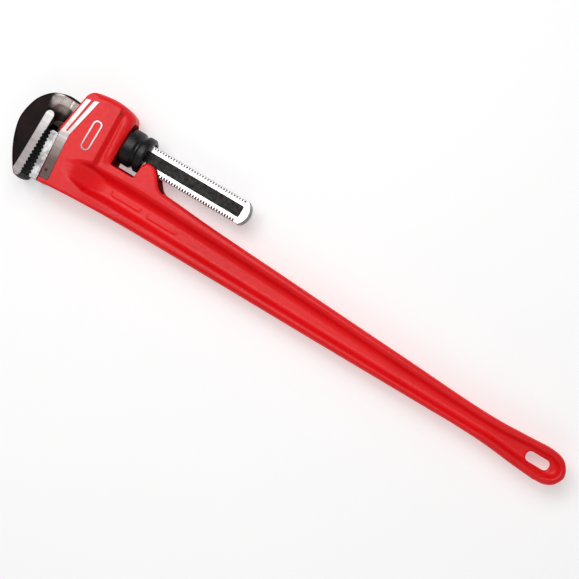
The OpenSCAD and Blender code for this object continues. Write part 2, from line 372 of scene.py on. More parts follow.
def flat_distance(outline, xs, ys):
    """Signed distance to a closed outline at each grid point, negative inside."""
    x, y = np.meshgrid(xs, ys, indexing="ij")
    best = np.full(x.shape, 1e12)
    inside = np.zeros(x.shape, bool)
    p = np.asarray(outline, float)
    for (ax, ay), (bx, by) in zip(p, np.roll(p, -1, 0)):
        ex, ey = bx - ax, by - ay
        size = ex * ex + ey * ey
        if size < 1e-12:
            continue
        t = np.clip(((x - ax) * ex + (y - ay) * ey) / size, 0, 1)
        best = np.minimum(best, (x - ax - t * ex) ** 2 + (y - ay - t * ey) ** 2)
        if ey != 0:
            inside ^= ((ay > y) != (by > y)) & (x < ax + (y - ay) * ex / ey)
    return (np.where(inside, -1, 1) * np.sqrt(best)).astype(np.float32)


def both(a, b, r):
    """The space inside both a and b, with the outer edge where they meet rounded to radius r."""
    return np.minimum(np.maximum(a, b), -r) + np.hypot(np.maximum(a + r, 0), np.maximum(b + r, 0))


def without(a, b, r):
    """a with b taken away, the edge rounded to radius r."""
    return both(a, -b, r)


def either(a, b, r):
    """The space inside a or b, with the inner corner where they meet filled to radius r."""
    return np.maximum(np.minimum(a, b), r) - np.hypot(np.maximum(r - a, 0), np.maximum(r - b, 0))


def box_distance(xs, ys, zs, low, high):
    """Signed distance to a box, on the grid."""
    gaps = []
    for axis, lo, hi in zip((xs, ys, zs), low, high):
        gaps.append(np.maximum(lo - axis, axis - hi).astype(np.float32))
    a, b, c = gaps[0][:, None, None], gaps[1][None, :, None], gaps[2][None, None, :]
    outside = np.sqrt(np.maximum(a, 0) ** 2 + np.maximum(b, 0) ** 2 + np.maximum(c, 0) ** 2)
    return outside + np.minimum(np.maximum(np.maximum(a, b), c), 0)


def smoothstep(low, high, x):
    t = np.clip((x - low) / (high - low), 0, 1)
    return t * t * (3 - 2 * t)


def both_sides(body, xs, ys, zs):
    """The upper half's field with its mirror image below the middle plane, and the grid's axes."""
    whole = np.concatenate([body[:, :, :0:-1], body], 2).astype(np.float32)
    return whole, (xs, ys, np.concatenate([-zs[:0:-1], zs]))


def cell_surface(field, axes):
    """Points, quads and outward directions of the surface where the field is 0."""
    inside = field < 0
    nx, ny, nz = field.shape
    count = np.zeros((nx - 1, ny - 1, nz - 1), np.uint8)
    corners = [(i, j, k) for i in (0, 1) for j in (0, 1) for k in (0, 1)]
    for i, j, k in corners:
        count += inside[i:nx - 1 + i, j:ny - 1 + j, k:nz - 1 + k]
    mixed = (count > 0) & (count < 8)
    cells = np.argwhere(mixed)
    index = np.full(mixed.shape, -1, np.int32)
    index[mixed] = np.arange(len(cells))
    total = np.zeros((len(cells), 3))
    hits = np.zeros(len(cells))
    for d in range(3):
        for corner in corners:
            if corner[d]:
                continue
            a = cells + corner
            b = a.copy()
            b[:, d] += 1
            va, vb = field[tuple(a.T)], field[tuple(b.T)]
            cross = (va < 0) != (vb < 0)
            t = np.where(cross, va / np.where(cross, va - vb, 1), 0)
            place = np.tile(np.array(corner, float), (len(cells), 1))
            place[:, d] = t
            total[cross] += place[cross]
            hits += cross
    local = total / hits[:, None]
    points = np.empty_like(local)
    for d, axis in enumerate(axes):
        low = axis[cells[:, d]]
        points[:, d] = low + local[:, d] * (axis[cells[:, d] + 1] - low)
    quads = []
    for d in range(3):
        u, v = (d + 1) % 3, (d + 2) % 3
        start = np.take(inside, range(field.shape[d] - 1), d)
        end = np.take(inside, range(1, field.shape[d]), d)
        at = np.argwhere(start != end)
        keep = (at[:, u] >= 1) & (at[:, v] >= 1)
        keep &= (at[:, u] <= field.shape[u] - 2) & (at[:, v] <= field.shape[v] - 2)
        at = at[keep]
        outward = start[tuple(at.T)]
        ring = []
        for du, dv in ((-1, -1), (0, -1), (0, 0), (-1, 0)):
            cell = at.copy()
            cell[:, u] += du
            cell[:, v] += dv
            ring.append(index[tuple(cell.T)])
        quad = np.stack(ring, 1)
        quad[~outward] = quad[~outward][:, ::-1]
        quads.append(quad)
    points, normals = settle(points, field, axes)
    return points, np.concatenate(quads), normals


def settle(points, field, axes, rounds=2):
    """The points moved onto the field's zero surface, and the outward direction at each."""
    slopes = np.gradient(field, *axes)
    for turn in range(rounds + 1):
        places, shares = [], []
        for d, axis in enumerate(axes):
            i = np.clip(np.searchsorted(axis, points[:, d]) - 1, 0, len(axis) - 2)
            places.append(i)
            shares.append((points[:, d] - axis[i]) / (axis[i + 1] - axis[i]))
        value = np.zeros(len(points))
        slope = np.zeros((len(points), 3))
        for i in (0, 1):
            for j in (0, 1):
                for k in (0, 1):
                    w = ((shares[0] if i else 1 - shares[0]) * (shares[1] if j else 1 - shares[1])
                         * (shares[2] if k else 1 - shares[2]))
                    at = (places[0] + i, places[1] + j, places[2] + k)
                    value += w * field[at]
                    for d in range(3):
                        slope[:, d] += w * slopes[d][at]
        size = np.maximum(np.linalg.norm(slope, axis=1), 0.3)
        if turn < rounds:
            points = points - slope * np.clip(value / size ** 2, -0.6, 0.6)[:, None]
    return points, slope / size[:, None]


def add_cast(name, field, axes, body, material):
    """A smooth mesh piece over the field's zero surface."""
    points, quads, normals = cell_surface(field, axes)
    obj = add_object(name, points, quads, body, material)
    obj.data.normals_split_custom_set_from_vertices(normals.tolist())
    return obj


# ---------------- node materials

class Nodes:
    """A small helper that adds nodes and links to one material."""

    def __init__(self, name):
        self.material = bpy.data.materials.new(name)
        self.material.use_nodes = True
        self.tree = self.material.node_tree
        self.tree.nodes.clear()
        self.output = self.tree.nodes.new("ShaderNodeOutputMaterial")
        self.shader = self.tree.nodes.new("ShaderNodeBsdfPrincipled")
        self.link(self.shader.outputs[0], self.output.inputs[0])
        self.place = self.tree.nodes.new("ShaderNodeTexCoord").outputs["Object"]

    def link(self, a, b):
        self.tree.links.new(a, b)

    def put(self, value, socket):
        """A number, colour or node output into a socket."""
        if isinstance(value, bpy.types.NodeSocket):
            self.link(value, socket)
        else:
            socket.default_value = value

    def set(self, **values):
        """Sets the shader's sockets: base_color becomes Base Color, and so on."""
        names = {s.name.lower().replace(" ", "_"): s for s in self.shader.inputs}
        for key, value in values.items():
            self.put(value, names[key])

    def node(self, kind, values):
        """A new node with the given values in its named sockets."""
        node = self.tree.nodes.new("ShaderNode" + kind)
        for key, value in values.items():
            self.put(value, node.inputs[key])
        return node

    def noise(self, scale, detail=3.0, rough=0.55, stretch=None, distortion=0.0):
        node = self.node("TexNoise", {"Scale": scale, "Detail": detail, "Roughness": rough,
                                      "Distortion": distortion, "Vector": self.mapped(stretch)})
        return node.outputs["Fac"]

    def mapped(self, stretch, turn=0.0):
        """The place on the object, stretched along each axis and turned about Z."""
        if stretch is None and not turn:
            return self.place
        node = self.node("Mapping", {"Scale": stretch or (1, 1, 1), "Rotation": (0, 0, turn),
                                     "Vector": self.place})
        return node.outputs[0]

    def ramp(self, value, low, high, out_low=0.0, out_high=1.0):
        """The value's stretch from low to high spread over out_low to out_high."""
        node = self.node("MapRange", {"Value": value, "From Min": low, "From Max": high,
                                      "To Min": out_low, "To Max": out_high})
        node.interpolation_type = "SMOOTHSTEP"
        return node.outputs["Result"]

    def vary(self, scale, detail, low=0.0, high=1.0, rough=0.55):
        """Noise whose middle stretch is spread over low to high."""
        return self.ramp(self.noise(scale, detail, rough), 0.3, 0.7, low, high)

    def grain(self, scale, detail, rough, strength, distance):
        """Fine bumps all over the surface."""
        self.set(normal=self.bump(self.noise(scale, detail, rough), strength, distance))

    def math(self, kind, a, b):
        node = self.node("Math", {0: a, 1: b})
        node.operation = kind
        return node.outputs[0]

    def mix(self, factor, a, b):
        """Colour a where the factor is 0 and b where it is 1."""
        node = self.node("Mix", {"Factor": factor})
        node.data_type = "RGBA"
        sockets = [s for s in node.inputs if s.type == "RGBA"]
        for colour, socket in zip((a, b), sockets):
            self.put((*colour, 1) if isinstance(colour, tuple) else colour, socket)
        return [s for s in node.outputs if s.type == "RGBA"][0]

    def bump(self, height, strength, distance, before=None):
        node = self.node("Bump", {"Strength": strength, "Distance": distance, "Height": height})
        if before is not None:
            self.link(before, node.inputs["Normal"])
        return node.outputs[0]

    def axis(self, which):
        return self.node("SeparateXYZ", {0: self.place}).outputs[which]


def red_enamel():
    """Thick red paint over the grain of a sand casting."""
    m = Nodes("red_enamel")
    colour = m.mix(m.ramp(m.noise(9, 3), 0.35, 0.65), (0.76, 0.003, 0.006), (0.84, 0.005, 0.009))
    m.set(base_color=colour, roughness=m.vary(160, 3, 0.30, 0.44), specular_ior_level=0.32)
    coarse = m.bump(m.noise(230, 5, 0.62), 0.35, 0.0009)
    fine = m.bump(m.noise(420, 4, 0.6), 0.3, 0.0005, coarse)
    m.set(normal=m.bump(m.noise(950, 2), 0.16, 0.0004, fine))
    return m.material


def dull_red():
    """Painted shade: a dark, rough red for the walls inside the casting's window."""
    m = Nodes("dull_red")
    colour = m.mix(m.ramp(m.noise(60, 3), 0.35, 0.65), (0.10, 0.002, 0.003), (0.20, 0.004, 0.006))
    m.set(base_color=colour, roughness=m.vary(160, 3, 0.75, 0.9), specular_ior_level=0.04)
    m.grain(230, 5, 0.62, 0.35, 0.0009)
    return m.material


def ground_steel(name, light, dark, low_tint, low_from, low_to, axis="Y", along=0.0):
    """Ground bright steel with grinding lines across the direction given. The metal turns to low_tint between
    low_from and low_to on the plan's axis."""
    m = Nodes(name)
    place = m.axis(axis)
    m.place = m.mapped((1, 1, 1), along)
    lines = m.noise(300, 3, 0.6, (0.08, 1.0, 0.3))
    wide = m.noise(60, 3, 0.5, (0.4, 1.0, 0.4))
    streaks = m.noise(620, 2, 0.5, (0.03, 1.0, 0.3))
    marks = m.math("ADD", m.math("MULTIPLY", wide, 0.4), m.math("MULTIPLY", streaks, 0.6))
    colour = m.mix(m.ramp(marks, 0.35, 0.65), dark, light)
    row_axis = "XY".index(axis)
    start, end = [float(to_row((value, value, 0))[row_axis]) for value in (low_from, low_to)]
    wobble = m.math("MULTIPLY", m.math("SUBTRACT", wide, 0.5), 0.012)
    colour = m.mix(m.ramp(m.math("ADD", place, wobble), end, start, 1.0, 0.0), colour, low_tint)
    m.set(base_color=colour, metallic=0.85, roughness=m.ramp(lines, 0.3, 0.7, 0.28, 0.46))
    m.set(normal=m.bump(lines, 0.25, 0.0003))
    return m.material


def mottled_steel(name, light=(0.48, 0.47, 0.47), dark=(0.17, 0.165, 0.17)):
    """Bare steel with uneven light and dark patches."""
    m = Nodes(name)
    patches = m.ramp(m.noise(62, 5, 0.65, None, 0.6), 0.36, 0.62)
    m.set(base_color=m.mix(patches, dark, light), metallic=0.9, roughness=m.vary(330, 4, 0.28, 0.52, 0.7))
    m.grain(190, 4, 0.65, 0.3, 0.0006)
    return m.material


def black_forging():
    """Black oxide, with bright metal on the slope between the jaw and the shank, partly wear and partly a
    painted highlight, and a grey metal tint towards the shank over the throat's hollow that is a painted
    sheen.
    """
    m = Nodes("black_forging")
    colour = m.mix(m.vary(30, 4, rough=0.6), (0.006, 0.002, 0.002), (0.017, 0.007, 0.006))
    x, y = m.axis("X"), m.axis("Y")
    wobble = m.math("MULTIPLY", m.math("SUBTRACT", m.noise(55, 3), 0.5), 0.014)
    slope_start, slope_low = to_row((-21, 3, 0))[:2]
    slope_end = float(to_row((-1, 0, 0))[0])
    crest_start = to_row((0, 16, 0))[1]
    across = m.ramp(m.math("ADD", x, wobble), slope_start - 0.008, slope_start + 0.006)
    above = m.ramp(m.math("ADD", y, wobble), slope_low - 0.016, slope_low + 0.008)
    crest = m.ramp(y, crest_start, crest_start + 0.003, 1.0, 0.0)
    # Mask of the bright slope and the grey tint: wear with a painted highlight on the slope, painted sheen in
    # the hollow.
    wear_and_sheen = m.math("MULTIPLY", m.math("MULTIPLY", across, above), crest)
    bright = m.mix(m.ramp(x, slope_end, slope_end + 0.008), (0.88, 0.78, 0.74), (0.22, 0.19, 0.175))
    m.set(base_color=m.mix(wear_and_sheen, colour, bright), metallic=m.ramp(wear_and_sheen, 0, 1, 0.0, 0.85),
          roughness=m.vary(120, 4, 0.24, 0.40), specular_ior_level=0.06)
    m.grain(85, 5, 0.6, 0.3, 0.0012)
    return m.material


def black_oxide(name, low=(0.003, 0.003, 0.003), high=(0.012, 0.012, 0.013), rough=(0.26, 0.46)):
    """Steel with a black finish, as on the nut and the teeth."""
    m = Nodes(name)
    m.set(base_color=m.mix(m.vary(70, 4, rough=0.6), low, high), metallic=0.0, specular_ior_level=0.3,
          roughness=m.vary(300, 4, *rough))
    m.grain(420, 4, 0.6, 0.3, 0.0005)
    return m.material


def recess_black():
    """Rough black oxide left in the shank's sunk panels; the same black between its teeth is painted shade.
    """
    m = Nodes("recess_black")
    patches = m.ramp(m.noise(150, 5, 0.7), 0.34, 0.66)
    m.set(base_color=m.mix(patches, (0.004, 0.003, 0.003), (0.040, 0.035, 0.032)), specular_ior_level=0.2,
          roughness=m.vary(260, 4, 0.42, 0.66))
    m.grain(280, 5, 0.65, 0.5, 0.0008)
    return m.material


def spring_metal():
    m = Nodes("spring_metal")
    m.set(base_color=m.mix(m.vary(120, 4), (0.20, 0.19, 0.18), (0.34, 0.33, 0.32)),
          metallic=0.9, roughness=m.vary(300, 3, 0.26, 0.42))
    m.grain(500, 3, 0.55, 0.2, 0.0003)
    return m.material


# Near-black steel for the pins' ends: partly the pins' own dark steel, partly painted shade of the holes they
# sit in.
def dark_pin():
    m = Nodes("dark_pin")
    m.set(base_color=m.mix(m.vary(400, 4), (0.012, 0.008, 0.008), (0.05, 0.03, 0.03)),
          metallic=0.5, roughness=m.vary(600, 3, 0.35, 0.6))
    m.grain(700, 3, 0.55, 0.3, 0.0003)
    return m.material


def floor_white():
    """A pale floor that glows a little, as a lit table does."""
    m = Nodes("floor_white")
    m.set(base_color=m.mix(m.noise(3, 2), (0.72, 0.72, 0.72), (0.74, 0.74, 0.74)), roughness=0.8,
          emission_color=(1, 1, 1, 1), emission_strength=0.36, specular_ior_level=0.1)
    m.grain(60, 2, 0.55, 0.02, 0.0005)
    return m.material


# ---------------- housing and handle

HEAD_FRONT = [(24, -124), (22.8, -112), (15.4, -39.5), (12.4, -31), (16.6, -9.3), (24.4, 35)]
HEAD_CROWN = [(24.4, 35), (29.5, 43.4), (40, 49.6), (55, 52.4), (74, 53.6), (93, 51.6), (108, 45.6),
              (119, 34)]
LUG_BACK = [(161.5, -14), (164, -9.6), (170, -7.4), (181, -8.5), (190, -15.5), (199, -27), (206, -34.5),
            (215, -38.2), (232, -39.4)]
HANDLE_TOP = [(232, -39.4), (315, -45.8), (446, -53), (560, -59.4), (700, -67), (794, -72.6), (855, -74.3),
              (900, -72.6), (945, -69.9)]
END_ARC = [(945, -69.9), (965, -72.5), (979, -81), (HANDLE_REACH, -99), (979, -116.5), (965, -124.5),
           (950, -126)]
HANDLE_LOW = [(950, -126.6), (910, -123.6), (855, -118.3), (800, -116.4), (740, -116.6), (543, -117.3),
              (216, -117.7), (106, -119.8), (24, -125)]


def silhouette():
    """The casting's outline from the side."""
    return (HEAD_FRONT[:-1] + spline(HEAD_CROWN) + [(124, 18), (150, -5)] + spline(LUG_BACK)
            + spline(HANDLE_TOP)[1:] + spline(END_ARC)[1:] + spline(HANDLE_LOW)[1:-1])


def pocket_outline():
    """The long hollow in each side of the handle, from the head to the hang slot."""
    top = [(48, -80), (68.5, -74), (80, -70), (92, -66), (112, -63), (235, -63.5), (480, -72), (700, -82.5),
           (855, -87.5), (925, -83), (955, -82.5)]
    low = [(955, -113.5), (915, -110), (855, -105), (794, -105), (480, -101.5), (235, -98), (112, -96.5),
           (96, -94.5), (74, -88.5), (48, -82)]
    end = [(955, -82.5), (970, -88), (975, -98), (970, -108), (955, -113.5)]
    return spline(top)[:-1] + spline(end)[:-1] + spline(low)


def half_thickness(x2, y2, flanges):
    """Half the casting's thickness: the head's plateau, its step down to the rib, and the flanges."""
    upper = HOUSING_HALF + (flanges - HOUSING_HALF) * smoothstep(88, 97, x2 + 0.035 * (y2 + 14))
    lower = HOUSING_HALF + (flanges - HOUSING_HALF) * smoothstep(78, 150, x2)
    share = smoothstep(-104, -72, y2)
    half = upper * share + lower * (1 - share)
    # A raised collar runs down the window's front edge.
    collar_reach = smoothstep(-48, -30, y2) * (1 - smoothstep(20, 44, y2))
    collar = np.exp(-((x2 + 0.09 * (y2 + 14) - 104) / 5.5) ** 2) * collar_reach
    return (half + 2.2 * collar).astype(np.float32)


def edge_radius(x2, y2):
    """How widely the long edges are rounded: crisp at the ground front, wide on the crown behind the rib."""
    front = np.interp(y2, [p[1] for p in HEAD_FRONT], [p[0] for p in HEAD_FRONT])
    near_front = 1 - smoothstep(4, 18, x2 - front)
    crown = smoothstep(78, 106, x2) * smoothstep(-30, 10, y2) * (1 - smoothstep(125, 150, x2))
    brow = smoothstep(30, 46, x2) * smoothstep(-10, 30, y2)
    handle = smoothstep(100, 200, x2)
    edge = 4.0 + 9.0 * brow * (1 - handle) + 4.5 * crown + 4.6 * handle
    return (edge * (1 - near_front) + 1.5 * near_front).astype(np.float32)


def handle_hollow(xs, ys, z, flanges):
    """The field of the long hollow in the handle's side, down to the web."""
    x2, y2 = np.meshgrid(xs, ys, indexing="ij")
    # The hollow's walls lean outwards, a little more on the upper flange than on the lower one.
    pocket = flat_distance(pocket_outline(), xs, ys)
    middle = -77.5 - 20.5 * smoothstep(100, 900, x2)
    tilt = (0.62 + 0.12 * np.clip((y2 - middle) / 12, -1, 1)) * (0.75 + 0.25 * smoothstep(90, 200, x2))
    tilt = tilt.astype(np.float32)
    half_way = (WEB_HALF + np.minimum(flanges, 25.3)) / 2
    lean = (z - half_way[:, :, None]) * tilt[:, :, None]
    wall = (pocket[:, :, None] - lean) / np.sqrt(1 + tilt ** 2)[:, :, None]
    # The web rises in a ramp to the head's plateau.
    web = HOUSING_HALF + 2.5 + (WEB_HALF - HOUSING_HALF - 2.5) * smoothstep(RAMP[0], RAMP[1], x2)
    return both(wall, (web[:, :, None] - z) * 0.85, 4.5)


def housing_field():
    """The casting's signed distance: a profiled silhouette less its pockets, window and passages."""
    step = 1.1
    xs = np.concatenate([np.arange(8, 250, step), np.arange(250, 912, 3.0), np.arange(912, 992, step)])
    ys = np.arange(-130, 61, step)
    zs = np.arange(0, 37, step)
    x2, y2 = np.meshgrid(xs, ys, indexing="ij")
    z = zs[None, None, :].astype(np.float32)

    flanges = np.interp(x2, [98, 115, 160, 250, 992], [25.3, 24.2, 23.5, 18, 14.5])
    outline = flat_distance(silhouette(), xs, ys)
    half = half_thickness(x2, y2, flanges)
    body = both(outline[:, :, None], z - half[:, :, None], edge_radius(x2, y2)[:, :, None])
    body = without(body, handle_hollow(xs, ys, z, flanges), 3.6)
    # Two plain raised pads lie along the web's middle.
    for pad_x in PAD_AT:
        pad = flat_distance(slot_outline((pad_x, -79.8 - (pad_x - PAD_AT[0]) * 0.03), PAD_SIZE, 3), xs, ys)
        body = either(body, both(pad[:, :, None], z - WEB_HALF - PAD_RISE, 0.8), 0.8)

    window = rounded([(WINDOW_FRONT, WINDOW_FLOOR), (WINDOW_REAR - 1.5, WINDOW_FLOOR), (WINDOW_REAR + 1, -14),
                      (WINDOW_REAR + 1, 90), (WINDOW_FRONT, 90)], 3.0)
    gap = flat_distance(window, xs, ys)
    soft = 2.6 + 5.4 * (1 - smoothstep(WINDOW_FRONT - 4, WINDOW_FRONT + 6, x2)) * smoothstep(-44, -26, y2)
    soft = (soft + 1.6 * (1 - smoothstep(-44, -34, y2))).astype(np.float32)
    # The window's floor is drafted: it rises a little towards the middle plane.
    draft = WINDOW_FLOOR + 3.0 * np.clip(1 - z / 22, 0, 1) - y2[:, :, None]
    body = without(body, both(gap[:, :, None], draft, 1.0), soft[:, :, None])

    slot = flat_distance(slot_outline(HANG_CENTRE, HANG_SIZE, 7), xs, ys)
    body = without(body, slot[:, :, None] + 0 * z, 3.0)

    # The shank's passage, the springs' room above it, the fork behind the window and the heel jaw's slot
    hollows = [
        ((0, PASSAGE_FLOOR, -50), (WINDOW_FRONT + 1, PASSAGE_ROOF, PASSAGE_HALF)),
        ((37, 0, -50), (98, 45.5, PASSAGE_HALF)),
        ((WINDOW_FRONT, -25, -50), (236, 60, PASSAGE_HALF)),
        ((0, -119.2, -50), (38.2, -47.8, TENON_HALF + 0.2)),
    ]
    for low, high in hollows:
        body = without(body, box_distance(xs, ys, zs, low, high), 1.0)
    round_hole = np.hypot(xs[:, None, None] - COIL_AT[0], z)
    body = without(body, np.maximum(round_hole - 7.1, np.abs(ys - 44)[None, :, None] - 5), 0.5)

    return both_sides(body, xs, ys, zs)


STRIPE = [(24.5, -117.5), (41.2, -116), (34.4, -55.2), (33.4, -34), (49.2, 36.8), (40.5, 34.4), (27.2, -30.9),
          (24.6, -30.9), (35.6, 33), (26.8, 30.6), (15.9, -37), (18.2, -58.7)]
BADGE_AT = (66, -17)
BADGE_SIZE = (17, 54)
BADGE_R = 8
BADGE_WIDTH = 2.8


def build_housing(red, window_shade, ground):
    field, axes = housing_field()
    casting = add_cast("casting", field, axes, "housing", red)
    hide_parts("housing_handle")
    # Painted shade: the walls of the nut's window and behind the lug get a dark, rough red.
    casting.data.materials.append(window_shade)
    low, high = to_row((WINDOW_FRONT - 1.5, WINDOW_FLOOR - 2, -21)), to_row((214, 50, 21))
    for face in casting.data.polygons:
        inside = all(a < c < b for a, c, b in zip(low, face.center, high))
        if inside and abs(face.normal.z) < 0.6:
            face.material_index = 1
    top = HOUSING_HALF + STRIPE_RISE
    hole = arc(HEEL_PIN, HEEL_PIN_R + 0.15, 0, 345, 23)
    stripe = plate_with_hole(rounded(STRIPE, 1.2, 3), hole, HOUSING_HALF - SUNK, top, 0.35)
    inner_size = [size - 2 * BADGE_WIDTH for size in BADGE_SIZE]
    ring = plate_with_hole(slot_outline(BADGE_AT, BADGE_SIZE, BADGE_R),
                           slot_outline(BADGE_AT, inner_size, BADGE_R - BADGE_WIDTH),
                           HOUSING_HALF - SUNK, top, 0.35)
    for name in ("up", "down"):
        for label, shape in (("ground_stripe", stripe), ("badge_rim", ring)):
            points, faces = shape if name == "up" else mirrored(shape)
            obj = add_object(label + "_" + name, points, faces, "housing", ground, 40)
    return casting


def pin_shape(centre, r, half, end_drop, shoulder, segments=48):
    """Points and faces of a round pin across the casting, with its ends drawn in by end_drop."""
    end = [(half - 0.7, r), (half - shoulder, r - 0.1), (half, r - end_drop)]
    profile = [(-height, radius) for height, radius in end[::-1]] + end
    points = []
    for height, radius in profile:
        for k in range(segments):
            a = 2 * math.pi * k / segments
            points.append((centre[0] + radius * math.cos(a), centre[1] + radius * math.sin(a), height))
    return points, capped_grid(len(profile), segments)


def build_pins(metal):
    """The heel jaw's pin, seen in its hole in the stripe, and the spring's pin."""
    shape = pin_shape(HEEL_PIN, HEEL_PIN_R, HOUSING_HALF + 0.6, 0.8, 0.5)
    heel = add_object("heel_pin", *shape, "housing", metal, 30)
    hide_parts("heel_jaw_pin")
    shape = pin_shape(SPRING_PIN, SPRING_PIN_R, HOUSING_HALF - 1.0, 0.7, 0.4)
    spring = add_object("spring_cross_pin", *shape, "housing", metal, 30)
    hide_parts("spring_pin")


# ---------------- hook jaw

HOOK_BACK = [(17, SHANK_CREST), (-8, 21.6), (-32, 12.2), (-49.2, -6), (-57, -25.5), (-60.2, -45),
             (-58.4, -62), (-50.8, -85.5), (-39.4, -108), (-25.4, -129.5)]
NOSE = [(-25.4, -129.5), (-20, -135.4), (-14, NOSE_BOTTOM), (-9.5, -134.6), (BITE_X, GRIP_BOTTOM)]


def hook_field():
    """The black forging: a thick rounded jaw that slopes down to the shank, with the throat's hollow."""
    step = 0.9
    xs = np.arange(-64, 22, step)
    ys = np.arange(-140, 27, step)
    zs = np.arange(0, 30, step)
    x2, y2 = np.meshgrid(xs, ys, indexing="ij")
    inner = [(-11.5, GRIP_BOTTOM), (-11.5, GRIP_TOP), (BITE_X, GRIP_TOP + 3)]
    throat = arc((THROAT_R + BITE_X, -SHANK_CREST - THROAT_R), THROAT_R, 180, 90)
    outline = (spline(HOOK_BACK)[:-1] + spline(NOSE[:-1])[:-1] + [(-11.5, -134)] + inner + throat
               + [(17, -SHANK_CREST + 0.3), (17, SHANK_CREST - 0.1)])
    flat = flat_distance(outline, xs, ys)
    neck = np.interp(x2, [-25, 3], [FORGING_HALF, SHANK_HALF + 0.05])
    low = smoothstep(-44, -30, y2)
    half = FORGING_HALF * (1 - low) + neck * low
    edge = 4.0 - 2.2 * smoothstep(-18, 0, x2)
    z = zs[None, None, :]
    body = both(flat[:, :, None], (z - half[:, :, None]) * 0.88, edge[:, :, None])
    scoop = np.sqrt((x2 - SCOOP[0]) ** 2 + (y2 - SCOOP[1]) ** 2)[:, :, None]
    body = without(body, np.hypot(scoop, z - SCOOP[2]) - SCOOP_R, 1.6)
    nose = y2[:, :, None] - NOSE_BOTTOM - 0.4 - NOSE_LIFT * (z / JAW_HALF) ** 2.4
    body = both(body, -nose, 2.0)
    return both_sides(body, xs, ys, zs)


def grip_outline():
    """The bright side strip of the hook: round at the top, toothed on the bite side, curved at the nose."""
    teeth = tooth_row((BITE_X, GRIP_BOTTOM), (BITE_X, GRIP_TOP), GRIP_PITCH, GRIP_DEPTH)
    # The row's roots lie to its right, so it is mirrored in the bite line.
    teeth = [(2 * BITE_X - x, y) for x, y in teeth]
    top = arc((-16, -22), 8, 0, 180, 14)
    return top + [(-24, -60), (-24, -104), (-24.4, -120)] + spline(NOSE, 5) + teeth + [(BITE_X, GRIP_TOP)]


def comb_radius(x, first_gap):
    """How far from its axis the shank's metal may reach at x, for the edge whose last gap is at first_gap."""
    away = np.abs((x - first_gap + THREAD_PITCH / 2) % THREAD_PITCH - THREAD_PITCH / 2)
    r = np.interp(away, [GAP_ROOT, GAP_CREST], [ROOT_R, COMB_R])
    return np.where((x > RACK[0]) & (x < first_gap + THREAD_PITCH / 2), r, COMB_R)


